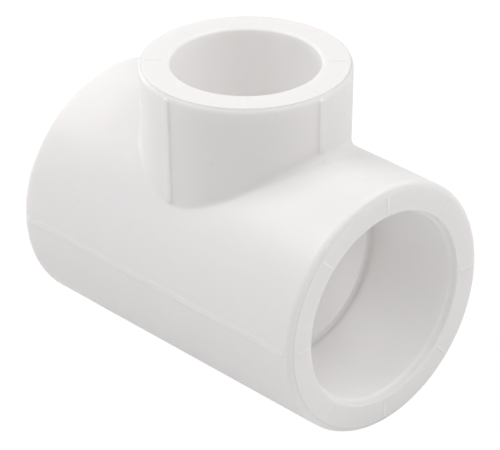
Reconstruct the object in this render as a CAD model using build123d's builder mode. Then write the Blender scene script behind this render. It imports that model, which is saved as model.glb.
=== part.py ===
from build123d import *
import os
from math import cos, radians, sin, tan

# Reducing tee for socket fusion of plastic pipe, 32 x 25 x 32 mm, one moulding.
# A straight run lies along X with a pipe socket at each end, and a smaller
# socket sits on a branch that rises along +Z.
# Origin: where the run axis crosses the branch axis. All sizes in millimetres.

# ---- run ----
run_od = 42.0
run_length = 62.6             # end face to end face
run_plateau_d = 40.1          # flat end face, inside the rounded rim
run_rim_radius = 1.0          # rounding from the barrel towards the end face
run_rim_sweep = 75.0          # degrees of that arc; a short cone carries on to the plateau
run_socket_d = 31.1           # socket wall for 32 mm pipe
run_socket_depth = 18.1       # end face to pipe stop
run_mouth_d = 33.0            # socket mouth at the end face
run_lead_in = 1.4             # axial length of the rounded entry
run_bore_d = 28.0             # waterway between the pipe stops

# ---- branch ----
branch_height = 31.9          # run axis to branch end face
branch_od = 33.9              # at the end face, before the rim is rounded
branch_draft = 0.9            # degrees, the branch narrows towards the run
branch_plateau_d = 33.0
branch_rim_length = 0.85      # axial length of the rim rounding
branch_rim_angle = 50.0       # degrees, slope of the rounding where it meets the end face
wall_pull, face_pull = 0.8, 0.6   # how far its inner control points reach to the knee
branch_socket_d = 23.8        # socket wall for 25 mm pipe
branch_socket_depth = 16.0
branch_mouth_d = 24.9
branch_lead_in = 0.5
branch_bore_d = 18.2

# ---- shared details ----
face_step = 0.13              # end faces stand this proud of the rim rounding
junction_radius = 1.3         # blend where the branch meets the run
saddle_min_z = 5.0            # the edge to blend has its centre above this height
cut_overrun = 1.0             # socket cuts carry on this far past the end faces

# ---- alignment ribs, four around each barrel ----
rib_width = 1.25
rib_embed = 0.5               # depth of each rib below the barrel surface
run_rib_height = 0.14         # on the sides and underside of the run
run_rib_end_gap = 1.25        # end face to rounded rib end
run_rib_length = run_length - 2 * run_rib_end_gap
top_rib_height = 0.08
top_rib_length = 52.4
branch_rib_height = 0.26
branch_rib_top = branch_height - 0.65
end_rib_foot = run_od / 2 - 1.0   # lower end of the branch ribs on its +X and -X sides
side_rib_foot = 9.0               # lower end of the branch ribs on its +Y and -Y sides

# ---- index ticks, radial bars on each end face ----
tick_count = 8
tick_width = 0.42
tick_embed = 0.3              # depth of each tick below the end face
run_tick_height = 0.12
run_tick_inner, run_tick_outer = 16.95, 19.75           # radii of the tick ends
branch_tick_height = 0.05
branch_tick_inner, branch_tick_outer = 13.1, 15.9

run_r = run_od / 2
half_run = run_length / 2
branch_r = branch_od / 2


def branch_radius_at(z):
    """Outside radius of the drafted branch at height z."""
    return branch_r - (branch_height - z) * tan(radians(branch_draft))


def entry_radius(length, flare):
    """Radius of an arc that leaves the socket wall tangentially and widens by flare."""
    return (length ** 2 + flare ** 2) / (2 * flare)


def branch_rib_plane(turn, z):
    """Plane under the branch surface, local x up the drafted wall, z square to it."""
    draft = radians(branch_draft)
    radial = Vector(cos(radians(turn)), sin(radians(turn)), 0)
    up = Vector(0, 0, 1)
    outward = radial * cos(draft) - up * sin(draft)
    along = radial * sin(draft) + up * cos(draft)
    surface = radial * branch_radius_at(z) + up * z
    return Plane(origin=surface - outward * rib_embed, x_dir=along, z_dir=outward)


with BuildPart() as tee_body:
    # Run barrel. From the foot of each end plateau a short cone leads into an
    # arc that rounds over onto the barrel.
    plateau_r = run_plateau_d / 2
    sweep = radians(run_rim_sweep)
    foot_x = half_run - face_step
    cone_r = run_r - run_rim_radius * (1 - cos(sweep))
    cone_x = foot_x - (cone_r - plateau_r) / tan(sweep)
    rim_x = cone_x - run_rim_radius * sin(sweep)
    mid_r = run_r - run_rim_radius * (1 - cos(sweep / 2))
    mid_x = rim_x + run_rim_radius * sin(sweep / 2)
    with BuildSketch(Plane.XZ):
        with BuildLine():
            ThreePointArc((-rim_x, run_r), (-mid_x, mid_r), (-cone_x, cone_r))
            Polyline(
                (-cone_x, cone_r), (-foot_x, plateau_r), (-half_run, plateau_r),
                (-half_run, 0), (half_run, 0), (half_run, plateau_r),
                (foot_x, plateau_r), (cone_x, cone_r),
            )
            ThreePointArc((cone_x, cone_r), (mid_x, mid_r), (rim_x, run_r))
            Line((rim_x, run_r), (-rim_x, run_r))
        make_face()
    revolve(axis=Axis.X)

    # Branch barrel. The rim curve leaves the drafted wall tangentially. Its end
    # tangents cross at about knee_z, and its inner control points reach towards it.
    branch_plateau_r = branch_plateau_d / 2
    rim_width = branch_r - branch_plateau_r
    foot_z = branch_height - face_step
    start_z = foot_z - branch_rim_length
    knee_z = foot_z - rim_width / tan(radians(branch_rim_angle))
    wall_z = start_z + wall_pull * (knee_z - start_z)
    rim_controls = [
        (branch_radius_at(start_z), start_z),
        (branch_radius_at(wall_z), wall_z),
        (branch_plateau_r + face_pull * rim_width, foot_z + face_pull * (knee_z - foot_z)),
        (branch_plateau_r, foot_z),
    ]
    with BuildSketch(Plane.XZ):
        with BuildLine():
            Polyline((0, 0), (branch_radius_at(0), 0), rim_controls[0])
            Bezier(*rim_controls)
            Polyline(
                rim_controls[-1], (branch_plateau_r, branch_height), (0, branch_height), (0, 0)
            )
        make_face()
    revolve(axis=Axis.Z)

    # Blend along the saddle curve where the two barrels meet.
    saddle = [
        edge for edge in tee_body.edges()
        if edge.geom_type not in (GeomType.LINE, GeomType.CIRCLE)
        and edge.center().Z > saddle_min_z
    ]
    fillet(saddle, junction_radius)

    # Run ribs: top, sides and underside. The branch interrupts the top one.
    for turn in (0, 90, 180, 270):
        is_top = turn == 0
        with BuildSketch(Plane.XY.rotated((turn, 0, 0)).offset(run_r - rib_embed)):
            SlotOverall(top_rib_length if is_top else run_rib_length, rib_width)
        extrude(amount=rib_embed + (top_rib_height if is_top else run_rib_height))

    # Branch ribs, following its draft.
    for turn in (0, 90, 180, 270):
        rib_foot = end_rib_foot if turn in (0, 180) else side_rib_foot
        with BuildSketch(branch_rib_plane(turn, (branch_rib_top + rib_foot) / 2)):
            SlotOverall(branch_rib_top - rib_foot, rib_width)
        extrude(amount=rib_embed + branch_rib_height)

    # Index ticks. Columns: end face, inner radius, outer radius, height.
    run_ends = [
        Plane(origin=(side * half_run, 0, 0), x_dir=(0, side, 0), z_dir=(side, 0, 0))
        for side in (1, -1)
    ]
    tick_rings = [
        (run_ends[0], run_tick_inner, run_tick_outer, run_tick_height),
        (run_ends[1], run_tick_inner, run_tick_outer, run_tick_height),
        (Plane.XY.offset(branch_height), branch_tick_inner, branch_tick_outer,
         branch_tick_height),
    ]
    for end_face, inner, outer, height in tick_rings:
        with BuildSketch(end_face.offset(-tick_embed)):
            with PolarLocations((inner + outer) / 2, tick_count):
                SlotOverall(outer - inner, tick_width)
        extrude(amount=tick_embed + height)

    # Run hollow: rounded entry, socket wall, flat pipe stop and bore, then the
    # same in reverse to the other end.
    socket_r, bore_r, mouth_r = run_socket_d / 2, run_bore_d / 2, run_mouth_d / 2
    stop_x = half_run - run_socket_depth
    entry_x = half_run - run_lead_in
    past_x = half_run + cut_overrun
    entry_r = entry_radius(run_lead_in, mouth_r - socket_r)
    with BuildSketch(Plane.XZ):
        with BuildLine():
            Polyline(
                (-half_run, mouth_r), (-past_x, mouth_r), (-past_x, 0),
                (past_x, 0), (past_x, mouth_r), (half_run, mouth_r),
            )
            RadiusArc((half_run, mouth_r), (entry_x, socket_r), entry_r)
            Polyline(
                (entry_x, socket_r), (stop_x, socket_r), (stop_x, bore_r),
                (-stop_x, bore_r), (-stop_x, socket_r), (-entry_x, socket_r),
            )
            RadiusArc((-entry_x, socket_r), (-half_run, mouth_r), entry_r)
        make_face()
    revolve(axis=Axis.X, mode=Mode.SUBTRACT)

    # Branch hollow, from the run axis up through the end face.
    socket_r, bore_r, mouth_r = branch_socket_d / 2, branch_bore_d / 2, branch_mouth_d / 2
    stop_z = branch_height - branch_socket_depth
    entry_z = branch_height - branch_lead_in
    past_z = branch_height + cut_overrun
    entry_r = entry_radius(branch_lead_in, mouth_r - socket_r)
    with BuildSketch(Plane.XZ):
        with BuildLine():
            Polyline(
                (0, 0), (bore_r, 0), (bore_r, stop_z), (socket_r, stop_z), (socket_r, entry_z)
            )
            RadiusArc((socket_r, entry_z), (mouth_r, branch_height), entry_r)
            Polyline((mouth_r, branch_height), (mouth_r, past_z), (0, past_z), (0, 0))
        make_face()
    revolve(axis=Axis.Z, mode=Mode.SUBTRACT)

os.makedirs("parts", exist_ok=True)
tee_body.part.label = "tee_body"
export_step(tee_body.part, "parts/tee_body.step")
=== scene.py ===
import math

import bpy
import numpy as np
from mathutils import Matrix, Vector


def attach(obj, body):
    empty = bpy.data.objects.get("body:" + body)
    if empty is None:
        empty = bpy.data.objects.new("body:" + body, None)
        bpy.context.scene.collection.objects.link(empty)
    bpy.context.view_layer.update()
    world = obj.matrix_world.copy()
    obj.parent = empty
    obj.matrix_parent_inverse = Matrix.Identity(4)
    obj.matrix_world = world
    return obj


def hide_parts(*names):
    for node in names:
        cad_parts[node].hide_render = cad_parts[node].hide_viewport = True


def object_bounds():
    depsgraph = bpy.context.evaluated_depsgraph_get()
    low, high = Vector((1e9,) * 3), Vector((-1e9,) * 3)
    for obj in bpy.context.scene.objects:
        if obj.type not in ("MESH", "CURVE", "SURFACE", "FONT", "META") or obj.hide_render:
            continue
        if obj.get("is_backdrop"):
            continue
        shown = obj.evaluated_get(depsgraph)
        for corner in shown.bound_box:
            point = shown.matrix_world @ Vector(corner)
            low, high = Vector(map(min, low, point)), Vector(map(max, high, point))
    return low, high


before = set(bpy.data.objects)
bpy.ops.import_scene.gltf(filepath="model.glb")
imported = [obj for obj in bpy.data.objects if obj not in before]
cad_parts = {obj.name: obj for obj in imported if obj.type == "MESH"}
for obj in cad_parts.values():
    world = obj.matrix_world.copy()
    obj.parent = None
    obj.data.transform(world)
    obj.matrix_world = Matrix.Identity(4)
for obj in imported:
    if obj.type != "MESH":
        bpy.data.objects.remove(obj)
size_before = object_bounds()

MM = 0.001

# ---------------------------------------------------------------------------
# Dimensions of the tee, in millimetres. The same body as the CAD node, with the
# soft edges, socket taper and rib flanks of a real moulding.
# ---------------------------------------------------------------------------
R = 21.0                      # run outside radius
L = 31.3                      # half length of the run
RIM_R = 1.0                   # run rim: an arc of this radius through RIM_SWEEP, then a short cone
RIM_SWEEP = math.radians(75)
STEP = 0.13                   # end-face plateau above the rim
PLATEAU = 20.05
MOUTH = 16.50                 # inner edge of the run end face
WALL_0, WALL_1 = 15.72, 15.38 # socket wall at mouth and root
LEAD = 1.4                    # axial length of the entry
ENTRY_R = 0.26                # rounding of the run mouth's edge
STOP_X = 13.2
BORE = 14.0

BH = 31.9                     # branch end face height
BR = 16.95                    # branch outside radius at the mouth
DRAFT = math.tan(math.radians(0.9))
B_RIM = 0.85                  # axial length of the branch rim
B_RIM_ANGLE = math.radians(50)
B_PLATEAU = 16.5
B_MOUTH = 12.45
B_WALL_0, B_WALL_1 = 11.95, 11.80
B_LEAD = 0.5
B_STOP = 15.9
B_BORE = 9.1

RIB_HALF = 0.58               # rib half width at mid flank
RIB_H = 0.26                  # height of the ribs on the branch
RUN_RIB_H = 0.14              # on the sides and underside of the run
TOP_RIB_H = 0.08              # along the top of the run, shorter than the others
TOP_RIB_END = 26.2
RIB_FLANK = 0.26
RUN_RIB_FLANK = 0.34
TOP_RIB_FLANK = 0.18
TICK_HALF, TICK_H, B_TICK_H = 0.20, 0.12, 0.05
TICK_FLANK = 0.14
RUN_TICK = (16.95, 19.75)
B_TICK = (13.1, 15.9)

RIB_T = [0, .1, .17, .25, .33, .41, .50, .60, .70, .80]
TICK_T = [0, .07, .13, .20, .27, .33, .45]


def branch_r(z):
    return BR - (BH - z) * DRAFT


def smooth(t):
    t = np.clip(t, 0, 1)
    return t * t * (3 - 2 * t)


def slot_height(across, along, half_len, half_w, flank, height):
    """Height of a raised slot-shaped bar. along is measured from the bar's centre."""
    past = np.maximum(0, np.abs(along) - (half_len - half_w))
    rho = np.sqrt(across ** 2 + past ** 2)
    return height * smooth((half_w + flank / 2 - rho) / flank)


def wrapped(theta, centre):
    return (theta - centre + 180) % 360 - 180


def lines(lo, hi, coarse, features):
    """Sorted grid positions between lo and hi: every feature offset, and no gap above coarse."""
    pos = [lo, hi]
    for centre, offsets in features:
        for o in offsets:
            for s in (-1, 1):
                v = centre + s * o
                if lo - 1e-9 <= v <= hi + 1e-9:
                    pos.append(v)
    pos = sorted(set(round(float(p), 6) for p in pos))
    kept = [pos[0]]
    for p in pos[1:]:
        if p - kept[-1] > 0.012:
            kept.append(p)
    out = [kept[0]]
    for p in kept[1:]:
        n = max(1, math.ceil((p - out[-1]) / coarse - 1e-6))
        a = out[-1]
        out += [a + (p - a) * i / n for i in range(1, n + 1)]
    return np.array(out)


# ---- surface points -----------------------------------------------------------
def run_rib(theta, x):
    h = 0
    for c in (0, 180, 270):
        t = np.radians(wrapped(theta, c)) * R
        h = np.maximum(h, slot_height(t, x, L - 1.25, RIB_HALF, RUN_RIB_FLANK, RUN_RIB_H))
    t = np.radians(wrapped(theta, 90)) * R
    top = slot_height(t, x, TOP_RIB_END, RIB_HALF, TOP_RIB_FLANK, TOP_RIB_H)
    return np.maximum(h, top)


def run_point(x, r, theta):
    a = np.radians(theta)
    return np.stack([x + 0 * a, r * np.cos(a), r * np.sin(a)], -1)


def outer_run(x, theta):
    return run_point(x, R + run_rib(theta, x), theta)


def tick_h(r, angle, band, height=TICK_H):
    h = 0
    for c in range(0, 360, 45):
        w = np.radians(wrapped(angle, c))
        t = np.where(np.abs(w) < 0.6, r * np.sin(w), 99.0)
        mid, half = (band[0] + band[1]) / 2, (band[1] - band[0]) / 2
        h = np.maximum(h, slot_height(t, r * np.cos(w) - mid, half, TICK_HALF, TICK_FLANK, height))
    return h


def bezier(p, n):
    t = np.linspace(0, 1, n)[:, None]
    p = np.array(p, float)
    return (1 - t) ** 3 * p[0] + 3 * (1 - t) ** 2 * t * p[1] + 3 * (1 - t) * t ** 2 * p[2] + t ** 3 * p[3]


def run_rim():
    cone_r = R - RIM_R * (1 - math.cos(RIM_SWEEP))
    cone = -STEP - (cone_r - PLATEAU) / math.tan(RIM_SWEEP)
    start = cone - RIM_R * math.sin(RIM_SWEEP)
    p = []
    for k in range(11):
        a = RIM_SWEEP * k / 10
        p.append((start + RIM_R * math.sin(a), R - RIM_R * (1 - math.cos(a))))
    return p


def branch_rim():
    foot, start = -STEP, -STEP - B_RIM
    knee = foot - (BR - B_PLATEAU) / math.tan(B_RIM_ANGLE)
    ease = start + 0.8 * (knee - start)
    ctrl = [(start, branch_r(BH + start)), (ease, branch_r(BH + ease)),
            (foot + 0.6 * (knee - foot), B_PLATEAU + 0.6 * (BR - B_PLATEAU)), (foot, B_PLATEAU)]
    return [tuple(v) for v in bezier(ctrl, 12)[:-1]]


# The end profile, from the barrel over the rim, across the end face and down the
# socket. Each entry is (axial position from the end face, radius).
def end_profile(rim, plateau, groove, mouth, wall0, wall1, lead, depth, bore, band, stepped=False):
    foot = -STEP
    p = list(rim)
    # the foot of the step with a fine witness groove, the step's short wall, and the
    # edge of the end face
    p += [(foot - 0.008, plateau + 0.13), (foot - 0.006 - 0.3 * groove, plateau + 0.105),
          (foot - 0.004 - 0.9 * groove, plateau + 0.08), (foot - groove, plateau + 0.05),
          (foot - 0.8 * groove, plateau + 0.025), (foot + 0.01, plateau + 0.008),
          (foot * 0.5, plateau), (-0.03, plateau - 0.004), (-0.008, plateau - 0.02), (0, plateau - 0.05)]
    radii = [plateau - 0.2]
    for e in (band[1], band[0]):
        radii += [e + 0.12, e + 0.06, e, e - 0.06, e - 0.12, e - 0.2]
    radii += [(band[0] + band[1]) / 2 + 0.6, (band[0] + band[1]) / 2 - 0.6, mouth + 0.12, mouth + 0.05]
    radii = sorted(set(r for r in radii if mouth + 0.04 < r < plateau - 0.15), reverse=True)
    p += [(0, r) for r in radii]
    if stepped:
        # rounded edge, a short steep cone, then a small chamfer down to the wall
        e = ENTRY_R
        for a in (0, 15, 30, 45, 60, 75, 90):
            q = math.radians(a)
            p.append((-e * (1 - math.cos(q)), mouth - e * math.sin(q)))
        s0, s1 = e, lead - 0.50
        step_r = mouth - e
        p += [(-s0 - 0.3 * (s1 - s0), step_r - 0.03), (-s0 - 0.8 * (s1 - s0), step_r - 0.09)]
        fall = step_r - 0.12 - wall0
        for f, g in ((0.0, 1.0), (0.12, 0.92), (0.3, 0.73), (0.7, 0.25), (0.86, 0.08), (1.0, 0.0)):
            p.append((-s1 - (lead - s1) * f, wall0 + fall * g))
    else:
        # rounded entry: steep at the face, tangent to the wall
        bell = (lead ** 2 + (mouth - wall0) ** 2) / (2 * (mouth - wall0))
        p += [(-0.008, mouth + 0.01), (-0.035, wall0 + bell - math.sqrt(bell ** 2 - (lead - 0.035) ** 2))]
        for f in (0.09, 0.2, 0.34, 0.5, 0.7, 0.88, 1.0):
            ax = lead * f
            p.append((-ax, wall0 + bell - math.sqrt(max(0, bell ** 2 - (lead - ax) ** 2))))
    span = depth - lead
    for f in (0.03, 0.2, 0.45, 0.7, 0.88):
        p.append((-lead - span * f, wall0 + (wall1 - wall0) * f ** 0.8))
    c = 0.25
    p += [(-depth + c * 1.8, wall1), (-depth + c, wall1)]
    for a in (22.5, 45, 67.5, 90):
        q = math.radians(a)
        p.append((-depth + c * (1 - math.sin(q)), wall1 - c * (1 - math.cos(q))))
    p += [(-depth, wall1 - c * 1.5), (-depth, (wall1 + bore) / 2), (-depth, bore + 0.3), (-depth, bore + 0.18)]
    e = 0.15
    for a in (30, 60, 90):
        q = math.radians(a)
        p.append((-depth - e * (1 - math.cos(q)), bore + e * (1 - math.sin(q))))
    p.append((-depth - e * 1.8, bore))
    return p


run_end = end_profile(run_rim(), PLATEAU, 0.0, MOUTH, WALL_0, WALL_1, LEAD, L - STOP_X, BORE, RUN_TICK, True)

quads = []                    # each entry is an (n, 4, 3) array of corner points


def patch(grid, closed):
    """grid is (rows, columns, 3). Adds its cells; closed joins the last column to the first."""
    if closed:
        grid = np.concatenate([grid, grid[:, :1]], 1)
    a, b, c, d = grid[:-1, :-1], grid[1:, :-1], grid[1:, 1:], grid[:-1, 1:]
    quads.append(np.stack([a, b, c, d], 2).reshape(-1, 4, 3))


# ---- grid lines ---------------------------------------------------------------
T0 = 25.0                     # the branch window on the run runs from 25 to 155 degrees
X0 = R * math.cos(math.radians(T0))
deg = lambda t, r: math.degrees(t / r)
rib_deg = [deg(t, R) for t in RIB_T]
tick_deg = [deg(t, 18.3) for t in TICK_T]
corner_t = [0, .25, .5, .75, 1.0, 1.3]
theta_half = lines(-90, 90, 2.3, [
    (90, rib_deg), (0, rib_deg), (-90, rib_deg), (45, tick_deg), (-45, tick_deg),
    (T0, [deg(t, R * 0.5) for t in corner_t]),
])
theta = np.concatenate([theta_half[:-1], (180 - theta_half[::-1])[:-1]])   # -90 .. 90 .. 270
x_start = L + run_rim()[0][0]
x_half = lines(0, x_start, 2.4, [
    (0, RIB_T), (X0, corner_t),
    (L - 1.25, [0, .12, .24, .36, .5, .7, .9]),
    (TOP_RIB_END, [0, .12, .24, .36, .5, .7, .9]),
])
xs = np.concatenate([-x_half[::-1], x_half[1:]])

i_lo = int(np.argmin(np.abs(theta - T0)))
i_hi = int(np.argmin(np.abs(theta - (180 - T0))))
j_lo = int(np.argmin(np.abs(xs + X0)))
j_hi = int(np.argmin(np.abs(xs - X0)))
assert abs(theta[i_lo] - T0) < 1e-6 and abs(theta[i_hi] - 180 + T0) < 1e-6
assert abs(xs[j_lo] + X0) < 1e-5 and abs(xs[j_hi] - X0) < 1e-5
xs[j_lo], xs[j_hi] = -X0, X0

# ---- run barrel, with the window left open --------------------------------------
TH, XX = np.meshgrid(theta, xs)          # rows are x, columns are theta
outer = outer_run(XX, TH)
closed_outer = np.concatenate([outer, outer[:, :1]], 1)
cells = []
for j in range(len(xs) - 1):
    for i in range(len(theta)):
        if j_lo <= j < j_hi and i_lo <= i < i_hi:
            continue
        cells.append([closed_outer[j, i], closed_outer[j + 1, i], closed_outer[j + 1, i + 1], closed_outer[j, i + 1]])
quads.append(np.array(cells))

# ---- both run ends ------------------------------------------------------------
for side in (1, -1):
    rows = []
    for k, (ax, rad) in enumerate(run_end):
        if k == 0:
            rows.append(outer_run(np.full(len(theta), side * xs[-1]), theta))
            continue
        h = tick_h(rad, theta, RUN_TICK) if abs(ax) < 1e-9 else 0 * theta
        rows.append(run_point(side * (L + ax + h), rad, theta))
    patch(np.array(rows), True)

# ---- run waterway, with the window of the branch bore left open -------------------
X1 = 11.9
scale_in = X1 / X0
x_in_end = STOP_X - 0.27
xin = xs[j_lo:j_hi + 1] * scale_in
xin_all = np.concatenate([[-x_in_end, -(x_in_end + X1) / 2], xin, [(x_in_end + X1) / 2, x_in_end]])
THi, XXi = np.meshgrid(theta, xin_all)
inner = run_point(XXi, BORE, THi)
closed_inner = np.concatenate([inner, inner[:, :1]], 1)
cells = []
for j in range(len(xin_all) - 1):
    for i in range(len(theta)):
        if 2 <= j < 2 + (j_hi - j_lo) and i_lo <= i < i_hi:
            continue
        cells.append([closed_inner[j, i], closed_inner[j + 1, i], closed_inner[j + 1, i + 1], closed_inner[j, i + 1]])
quads.append(np.array(cells))

# ---- branch columns, one for each point on the window's edge ------------------------
loop = []
for i in range(i_hi, i_lo, -1):
    loop.append((xs[j_hi], theta[i]))
for j in range(j_hi, j_lo, -1):
    loop.append((xs[j], theta[i_lo]))
for i in range(i_lo, i_hi):
    loop.append((xs[j_lo], theta[i]))
for j in range(j_lo, j_hi):
    loop.append((xs[j], theta[i_hi]))
loop = np.array(loop)
wx, wt = loop[:, 0], loop[:, 1]
phi = np.arctan2(R * np.cos(np.radians(wt)), wx)
cp, sp = np.cos(phi), np.sin(phi)

rho = 1.1 + 0.25 * cp ** 2                 # junction blend radius, softer along the run
cos_d = 1 / math.sqrt(1 + DRAFT ** 2)
sin_d = DRAFT * cos_d
zc = np.full(len(phi), 18.0)
for _ in range(12):
    q = branch_r(zc) + rho / cos_d
    zc = np.sqrt((R + rho) ** 2 - (q * sp) ** 2)
centre = np.stack([q * cp, q * sp, zc], -1)
n_b = np.stack([cp * cos_d, sp * cos_d, np.full(len(phi), -sin_d)], -1)
d_r = -np.stack([0 * q, centre[:, 1], centre[:, 2]], -1) / (R + rho)[:, None]
d_b = -n_b
on_run = centre + rho[:, None] * d_r
on_branch = centre + rho[:, None] * d_b
rt = np.degrees(np.arctan2(on_run[:, 2], on_run[:, 1]))
rx = on_run[:, 0]

rows = []
for f in (0, .25, .5, .75, 1):
    rows.append(outer_run(wx + (rx - wx) * f, wt + (rt - wt) * f))
patch(np.array(rows), True)

# Junction blend: an arc about the rolling centre. The ribs of the branch fade into
# it from above and the low rib along the top of the run from below.
across_x = np.where(np.abs(cp) > 0.9, on_branch[:, 1], 99.0)
across_y = np.where(np.abs(sp) > 0.9, on_branch[:, 0], 99.0)
rib_x = slot_height(across_x, 0 * phi, 50, RIB_HALF, RIB_FLANK, RIB_H)
rib_y = slot_height(across_y, 0 * phi, 50, RIB_HALF, RIB_FLANK, RIB_H)
omega = np.arccos(np.clip((d_r * d_b).sum(-1), -1, 1))
rows = [outer_run(rx, rt)]
N = 9
for k in range(1, N + 1):
    f = k / N
    d = (np.sin((1 - f) * omega)[:, None] * d_r + np.sin(f * omega)[:, None] * d_b) / np.sin(omega)[:, None]
    h = (rib_x + rib_y) * smooth((f - 0.72) / 0.28) + run_rib(rt, rx) * (1 - smooth(f / 0.4))
    rows.append(centre + d * (rho - h)[:, None])
patch(np.array(rows), True)

# Branch wall.
z0 = on_branch[:, 2]
z_rim = BH + branch_rim()[0][0]
z_end = BH - 0.65                         # rounded tip of each branch rib


def branch_rib(z):
    """0 off the ribs, 1 on top of one."""
    r = branch_r(z)
    ax_ = np.where(np.abs(cp) > 0.9, r * sp, 99.0)
    ay_ = np.where(np.abs(sp) > 0.9, r * cp, 99.0)
    along = z - (z_end - 40)
    return np.maximum(slot_height(ax_, along, 40, RIB_HALF, RIB_FLANK, 1.0),
                      slot_height(ay_, along, 40, RIB_HALF, RIB_FLANK, 1.0))


def branch_wall(z):
    r = branch_r(z)
    base = np.stack([r * cp, r * sp, z], -1)
    return base + n_b * (RIB_H * branch_rib(z))[:, None]


rows = []
z_top = z_rim - 0.6
for f in np.linspace(0, 1, 10):
    rows.append(branch_wall(z0 + (z_top - z0) * f))
for dz in (0.15, 0.3, 0.4, 0.5, 0.6):
    rows.append(branch_wall(np.full(len(phi), z_top + dz)))
patch(np.array(rows), True)
last_wall = rows[-1]

# Over the rim the ribs keep their own height while the rim falls away below them.
rim = branch_rim()
branch_end = end_profile(rim, B_PLATEAU, 0.035, B_MOUTH, B_WALL_0, B_WALL_1, B_LEAD, BH - B_STOP,
                         B_BORE, B_TICK)
rows = [last_wall]
for k, (ax, rad) in enumerate(branch_end):
    if k == 0:
        continue
    z = BH + ax
    if k < len(rim):
        zz = np.full(len(phi), z)
        rad = rad + (branch_r(z) + RIB_H - rad) * branch_rib(zz)
    h = tick_h(rad, np.degrees(phi), B_TICK, B_TICK_H) if abs(ax) < 1e-9 else 0 * phi
    rows.append(np.stack([rad * cp, rad * sp, z + h], -1))
# Bore of the branch, down to the run waterway.
z_in = np.sqrt(BORE ** 2 - (B_BORE * sp) ** 2)
z_from = rows[-1][:, 2]
for f in (0.3, 0.6, 0.85, 0.97, 1.0):
    z = z_from + (z_in - z_from) * f
    rows.append(np.stack([B_BORE * cp, B_BORE * sp, z], -1))
patch(np.array(rows), True)

# From the bore's lower edge out to the window of the run waterway.
bt = np.degrees(np.arctan2(z_in, B_BORE * sp))
bx = B_BORE * cp
wxi = wx * scale_in
rows = []
for f in (0, .03, .35, .7, 1):
    rows.append(run_point(bx + (wxi - bx) * f, BORE, bt + (wt - bt) * f))
patch(np.array(rows), True)

# ---- weld and build ------------------------------------------------------------
q = np.concatenate(quads, 0)
flat = q.reshape(-1, 3)
key = np.round(flat * 2000).astype(np.int64)
_, first, inverse = np.unique(key, axis=0, return_index=True, return_inverse=True)
verts = flat[first]
faces = inverse.reshape(-1, 4)
good = []
for f in faces.tolist():
    g = [v for n, v in enumerate(f) if v != f[n - 1]]
    if len(set(g)) >= 3:
        good.append(g)

mesh = bpy.data.meshes.new("tee_moulding")
mesh.from_pydata((verts * MM).tolist(), [], good)
mesh.validate()
import bmesh
bm = bmesh.new()
bm.from_mesh(mesh)
bmesh.ops.recalc_face_normals(bm, faces=bm.faces)
open_edges = sum(1 for e in bm.edges if not e.is_manifold)
volume = bm.calc_volume(signed=True)
if volume < 0:
    bmesh.ops.reverse_faces(bm, faces=bm.faces)
bm.to_mesh(mesh)
bm.free()
print("tee mesh", len(mesh.vertices), "vertices", len(mesh.polygons), "faces, open edges", open_edges,
      "volume mm3", round(volume / MM ** 3, 1))

# Vertex normals weighted by face area, so the wide faces stay flat and the small
# ones carry the rounding.
n_f = len(mesh.polygons)
nv = len(mesh.vertices)
co = np.empty(nv * 3); mesh.vertices.foreach_get("co", co); co = co.reshape(-1, 3)
area = np.empty(n_f); mesh.polygons.foreach_get("area", area)
nor = np.empty(n_f * 3); mesh.polygons.foreach_get("normal", nor); nor = nor.reshape(-1, 3)
loops_v = np.empty(len(mesh.loops), np.int64); mesh.loops.foreach_get("vertex_index", loops_v)
total = np.empty(n_f, np.int64); mesh.polygons.foreach_get("loop_total", total)
face_of = np.repeat(np.arange(n_f), total)
vn = np.zeros((nv, 3))
np.add.at(vn, loops_v, (nor * area[:, None])[face_of])
vn /= np.linalg.norm(vn, axis=1)[:, None] + 1e-30
mesh.polygons.foreach_set("use_smooth", np.ones(n_f, bool))
mesh.normals_split_custom_set_from_vertices(vn.tolist())
mesh.update()

tee = bpy.data.objects.new("tee_moulding", mesh)
bpy.context.scene.collection.objects.link(tee)


# ---------------------------------------------------------------------------
# Materials
# ---------------------------------------------------------------------------
class Nodes:
    def __init__(self, name):
        self.mat = bpy.data.materials.new(name)
        self.mat.use_nodes = True
        self.tree = self.mat.node_tree
        self.tree.nodes.clear()

    def add(self, kind, **kw):
        n = self.tree.nodes.new(kind)
        for k, v in kw.items():
            if k in ("inputs",):
                for key, val in v.items():
                    if isinstance(val, bpy.types.NodeSocket):
                        self.tree.links.new(val, n.inputs[key])
                    else:
                        n.inputs[key].default_value = val
            else:
                setattr(n, k, v)
        return n

    def math(self, op, a, b=None, clamp=False):
        n = self.tree.nodes.new("ShaderNodeMath")
        n.operation = op
        n.use_clamp = clamp
        for i, v in enumerate((a, b)):
            if v is None:
                continue
            if isinstance(v, bpy.types.NodeSocket):
                self.tree.links.new(v, n.inputs[i])
            else:
                n.inputs[i].default_value = v
        return n.outputs[0]

    def ramp(self, fac, stops):
        n = self.tree.nodes.new("ShaderNodeValToRGB")
        self.tree.links.new(fac, n.inputs[0])
        el = n.color_ramp.elements
        while len(el) < len(stops):
            el.new(0.5)
        for e, (p, c) in zip(el, stops):
            e.position = p
            e.color = (c, c, c, 1) if not isinstance(c, tuple) else c
        return n.outputs[0]

    def mix(self, fac, a, b):
        n = self.tree.nodes.new("ShaderNodeMix")
        n.data_type = "RGBA"
        for i, v in ((0, fac), (6, a), (7, b)):
            if isinstance(v, bpy.types.NodeSocket):
                self.tree.links.new(v, n.inputs[i])
            else:
                n.inputs[i].default_value = v
        return n.outputs[2]


BORE_LIGHT_OUTSIDE_TONE = 0.91             # tone outside the bores, which are painted lighter


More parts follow.
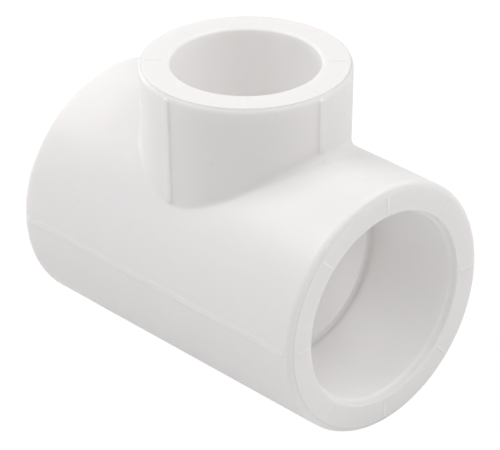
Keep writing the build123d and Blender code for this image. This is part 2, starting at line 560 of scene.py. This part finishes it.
def moulding_material():
    m = Nodes("moulding")
    out = m.add("ShaderNodeOutputMaterial")
    bsdf = m.add("ShaderNodeBsdfPrincipled")
    m.tree.links.new(bsdf.outputs[0], out.inputs[0])
    pos = m.add("ShaderNodeNewGeometry").outputs["Position"]
    tc = m.add("ShaderNodeTexCoord").outputs["Object"]

    # Resin colour: a neutral off-white with a faint cloudy variation.
    cloud = m.add("ShaderNodeTexNoise", inputs={"Vector": tc, "Scale": 55.0, "Detail": 4.0, "Roughness": 0.55}).outputs[0]
    fine = m.add("ShaderNodeTexNoise", inputs={"Vector": tc, "Scale": 900.0, "Detail": 3.0, "Roughness": 0.6}).outputs[0]
    base = m.mix(m.ramp(cloud, [(0.3, 0.0), (0.7, 1.0)]), (0.968, 0.948, 0.941, 1), (0.978, 0.959, 0.952, 1))
    base = m.mix(m.math("MULTIPLY", m.ramp(fine, [(0.35, 0.0), (0.75, 1.0)]), 0.18), base, (0.950, 0.928, 0.920, 1))

    # A few moulded-in specks.
    specks = None
    for x, y, z, rad in SPECKS:
        d = m.add("ShaderNodeVectorMath", operation="DISTANCE")
        m.tree.links.new(tc, d.inputs[0])
        d.inputs[1].default_value = (x * MM, y * MM, z * MM)
        v = m.math("SUBTRACT", 1.0, m.math("DIVIDE", d.outputs["Value"], rad * MM), clamp=True)
        specks = v if specks is None else m.math("MAXIMUM", specks, v)
    if specks is not None:
        base = m.mix(m.math("MULTIPLY", m.ramp(specks, [(0.0, 0.0), (0.9, 1.0)]), 0.16), base, (0.45, 0.41, 0.38, 1))
    # Painted shade: the base colour is darkened by ambient occlusion in tight corners of the
    # moulding, beside ribs, under the rim, at the root of each socket.
    near = m.add("ShaderNodeAmbientOcclusion", samples=12)
    near.inputs["Distance"].default_value = 0.0015
    painted_crease_shade = m.ramp(near.outputs["AO"], [(0.30, 0.80), (0.50, 0.89), (0.88, 1.0)])
    # Painted shade: a tighter occlusion darkens the base colour along fine steps and grooves.
    tight = m.add("ShaderNodeAmbientOcclusion", samples=8)
    tight.inputs["Distance"].default_value = 0.0003
    painted_fine_shade = m.ramp(tight.outputs["AO"], [(0.30, 0.80), (0.55, 0.92), (0.80, 1.0)])

    xyz = m.add("ShaderNodeSeparateXYZ")
    m.tree.links.new(tc, xyz.inputs[0])
    px, py, pz = xyz.outputs

    def polar(a, b):
        return (m.math("SQRT", m.math("ADD", m.math("MULTIPLY", a, a), m.math("MULTIPLY", b, b))),
                m.math("DIVIDE", m.math("ARCTAN2", b, a), math.pi / 4))

    def ticks(radius, turn, level, face, band):
        off = m.math("ABSOLUTE", m.math("SUBTRACT", turn, m.math("ROUND", turn)))
        across = m.math("MULTIPLY", m.math("MULTIPLY", off, radius), math.pi / 4 / MM)
        centre_line = m.math("SUBTRACT", 1.0, m.math("DIVIDE", across, 0.26), clamp=True)
        on_face = m.math("GREATER_THAN", level, (face - 0.02) * MM)
        in_band = m.math("MULTIPLY", m.math("GREATER_THAN", radius, band[0] * MM),
                         m.math("LESS_THAN", radius, band[1] * MM))
        return m.math("MULTIPLY", m.math("MULTIPLY", centre_line, on_face), in_band)

    # Painted shade and highlight on the index ticks: those on the branch's end face are painted greyer,
    # by an amount that changes with each tick's direction round the face, and those on the run's end faces brighter,
    # so that they read.
    b_radius, b_turn = polar(px, py)
    r_radius, r_turn = polar(py, pz)
    along = m.math("DIVIDE", m.math("MULTIPLY", px, py), m.math("MULTIPLY", b_radius, b_radius))
    tick_shade_amount = m.math("ADD", 0.055, m.math("MULTIPLY", along, 0.12))
    tick_shade_amount = m.math("MAXIMUM", tick_shade_amount, 0.01)
    # Painted shade on the branch's ticks.
    painted_light = m.math("SUBTRACT", 1.0, m.math("MULTIPLY", ticks(b_radius, b_turn, pz, BH, B_TICK), tick_shade_amount))
    # Painted highlight on the run's ticks.
    painted_tick_highlight = m.math("ADD", 1.0, m.math("MULTIPLY", ticks(r_radius, r_turn, m.math("ABSOLUTE", px), L, RUN_TICK), 0.09))

    # Painted light: the bores are painted a shade lighter than the outer skin, which keeps the
    # open sockets from coming out too dark.
    in_run = m.math("DIVIDE", m.math("SUBTRACT", 16.45 * MM, r_radius), 0.7 * MM, clamp=True)
    in_branch = m.math("DIVIDE", m.math("SUBTRACT", 12.42 * MM, b_radius), 0.4 * MM, clamp=True)
    in_branch = m.math("MULTIPLY", in_branch, m.math("GREATER_THAN", pz, 0.0))
    painted_bore_light = m.math("ADD", BORE_LIGHT_OUTSIDE_TONE, m.math("MULTIPLY", m.math("MAXIMUM", in_run, in_branch), 1.0 - BORE_LIGHT_OUTSIDE_TONE))
    painted_light = m.math("MULTIPLY", m.math("MULTIPLY", painted_light, painted_tick_highlight), painted_bore_light)
    # The painted crease shade, the painted tick shade and highlight and the painted bore light all scale the base
    # colour.
    tone = m.math("MULTIPLY", m.math("MULTIPLY", painted_crease_shade, painted_fine_shade), painted_light)
    toned = m.add("ShaderNodeVectorMath", operation="MULTIPLY")
    m.tree.links.new(base, toned.inputs[0])
    m.tree.links.new(tone, toned.inputs[1])
    m.tree.links.new(toned.outputs[0], bsdf.inputs["Base Color"])

    # Satin skin: slightly uneven gloss.
    gloss = m.add("ShaderNodeTexNoise", inputs={"Vector": tc, "Scale": 260.0, "Detail": 5.0, "Roughness": 0.6}).outputs[0]
    rough = m.ramp(gloss, [(0.25, 0.36), (0.75, 0.46)])
    m.tree.links.new(rough, bsdf.inputs["Roughness"])

    # Fine orange-peel and faint tool marks.
    peel = m.add("ShaderNodeTexNoise", inputs={"Vector": tc, "Scale": 1500.0, "Detail": 2.0, "Roughness": 0.5}).outputs[0]
    broad = m.add("ShaderNodeTexNoise", inputs={"Vector": tc, "Scale": 140.0, "Detail": 2.0, "Roughness": 0.5}).outputs[0]
    height = m.math("ADD", m.math("MULTIPLY", peel, 0.10), m.math("MULTIPLY", broad, 1.0))
    bump = m.add("ShaderNodeBump", inputs={"Strength": 0.35, "Distance": 0.00003, "Height": height})
    m.tree.links.new(bump.outputs[0], bsdf.inputs["Normal"])

    bsdf.inputs["IOR"].default_value = 1.49
    bsdf.inputs["Subsurface Weight"].default_value = 0.6
    bsdf.inputs["Subsurface Radius"].default_value = (1.0, 0.92, 0.85)
    bsdf.inputs["Subsurface Scale"].default_value = 0.0018
    return m.mat


def on_cyl_run(theta_deg, x, r=R):
    a = math.radians(theta_deg)
    return (x, r * math.cos(a), r * math.sin(a))


SPECKS = [
    (BR * 0.985 * math.cos(math.radians(-62.5)), BR * 0.985 * math.sin(math.radians(-62.5)), 1.045 * R, 0.32),
    (*on_cyl_run(167, 0.87 * R), 0.22),
    (*on_cyl_run(164, -0.93 * R), 0.22),
    (L, 0.86 * R * math.cos(math.radians(-123)), 0.86 * R * math.sin(math.radians(-123)), 0.2),
]

plastic = moulding_material()
tee.data.materials.append(plastic)
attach(tee, "root")
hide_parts("tee_body")

# ---------------------------------------------------------------------------
# Studio
# ---------------------------------------------------------------------------
floor_z = -(R + RUN_RIB_H + 0.02) * MM
floor_mesh = bpy.data.meshes.new("floor")
s = 6.0
floor_mesh.from_pydata([(-s, -s, floor_z), (s, -s, floor_z), (s, s, floor_z), (-s, s, floor_z)], [], [(0, 1, 2, 3)])
floor = bpy.data.objects.new("floor", floor_mesh)
bpy.context.scene.collection.objects.link(floor)
fm = Nodes("floor_white")
fo = fm.add("ShaderNodeOutputMaterial")
fb = fm.add("ShaderNodeBsdfPrincipled")
seen = fm.add("ShaderNodeLightPath").outputs["Is Camera Ray"]
glow = fm.add("ShaderNodeEmission")
glow.inputs[1].default_value = 1.06
blend = fm.add("ShaderNodeMixShader")
fm.tree.links.new(fm.math("MULTIPLY", seen, 0.9), blend.inputs[0])
fm.tree.links.new(fb.outputs[0], blend.inputs[1])
fm.tree.links.new(glow.outputs[0], blend.inputs[2])
fm.tree.links.new(blend.outputs[0], fo.inputs[0])
fc = fm.add("ShaderNodeTexCoord").outputs["Object"]
fn = fm.add("ShaderNodeTexNoise", inputs={"Vector": fc, "Scale": 30.0, "Detail": 4.0, "Roughness": 0.5}).outputs[0]
fcol = fm.mix(fn, (0.60, 0.60, 0.60, 1), (0.64, 0.64, 0.64, 1))
fm.tree.links.new(fcol, fb.inputs["Base Color"])
fb.inputs["Roughness"].default_value = 0.9
fb.inputs["Specular IOR Level"].default_value = 0.1
fb.inputs["Emission Color"].default_value = (1, 1, 1, 1)
fb.inputs["Emission Strength"].default_value = 0.213
floor_mesh.materials.append(fm.mat)
floor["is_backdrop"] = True

# Camera.
U = R * MM
az, el, roll = math.radians(46.4348), math.radians(29.1155), math.radians(-0.3595)
back = Vector((math.sin(az) * math.cos(el), -math.cos(az) * math.cos(el), math.sin(el)))
right = Vector((math.cos(az), math.sin(az), 0))
up = back.cross(right)
r2 = right * math.cos(roll) + up * math.sin(roll)
u2 = -right * math.sin(roll) + up * math.cos(roll)
target = Vector((0.915, -0.837, 0.8072)) * U
cam_pos = target + back * (21.7869 * U)
cam_data = bpy.data.cameras.new("camera")
cam_data.sensor_fit = "HORIZONTAL"
cam_data.sensor_width = 36.0
cam_data.lens = 217.28
cam_data.clip_start = 0.01
cam = bpy.data.objects.new("camera", cam_data)
cam.matrix_world = Matrix((
    (r2.x, u2.x, back.x, cam_pos.x),
    (r2.y, u2.y, back.y, cam_pos.y),
    (r2.z, u2.z, back.z, cam_pos.z),
    (0, 0, 0, 1),
))
bpy.context.scene.collection.objects.link(cam)
bpy.context.scene.camera = cam


def area_light(name, loc, aim, size, size_y, power, color=(1, 1, 1)):
    d = bpy.data.lights.new(name, "AREA")
    d.shape = "RECTANGLE"
    d.size, d.size_y = size, size_y
    d.energy = power
    d.color = color
    o = bpy.data.objects.new(name, d)
    direction = Vector(aim) - Vector(loc)
    o.rotation_euler = direction.to_track_quat("-Z", "Y").to_euler()
    o.location = loc
    o.visible_camera = False
    bpy.context.scene.collection.objects.link(o)
    return o


# Light tent: soft panels on a dome round the part. Each entry is (azimuth, elevation,
# power); azimuth 0 is straight behind the camera, positive to the camera's right.
aim = Vector((0, 0, 0.002))
flat_back = Vector((back.x, back.y, 0)).normalized()
side = Vector((right.x, right.y, 0)).normalized()
PANELS = [
    (45, 55, 0.524),
    (90, 55, 0.570),
    (135, 55, 0.472),
    (-90, 55, 1.418),
    (0, 26, 0.150),
    (72, 26, 0.134),
    (108, 26, 0.230),
    (-144, 26, 0.440),
    (-126, 4, 0.654),
]
for n, (pa, pe, power) in enumerate(PANELS):
    ra, re = math.radians(pa), math.radians(pe)
    d = (flat_back * math.cos(ra) + side * math.sin(ra)) * math.cos(re) + Vector((0, 0, 1)) * math.sin(re)
    area_light(f"panel_{n}", tuple(aim + d * 0.6), aim, 0.34, 0.34 if pe > 10 else 0.12, power)

world = bpy.data.worlds.new("world")
bpy.context.scene.world = world
world.use_nodes = True
wt_tree = world.node_tree
bg = wt_tree.nodes["Background"]
bg.inputs[0].default_value = (1, 1, 1, 1)
ray = wt_tree.nodes.new("ShaderNodeLightPath")
strength = wt_tree.nodes.new("ShaderNodeMapRange")      # white behind, dim as a light
strength.inputs["To Min"].default_value = 0.326
strength.inputs["To Max"].default_value = 1.02
wt_tree.links.new(ray.outputs["Is Camera Ray"], strength.inputs["Value"])
wt_tree.links.new(strength.outputs[0], bg.inputs[1])
bpy.context.scene.view_settings.view_transform = "Standard"

size_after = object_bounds()


def plain(b):
    if isinstance(b, dict):
        return {k: plain(v) for k, v in b.items()}
    if isinstance(b, (list, tuple, Vector)):
        return [plain(v) for v in b]
    return float(b)


{"after_load": plain(size_before), "before_finish": plain(size_after)}
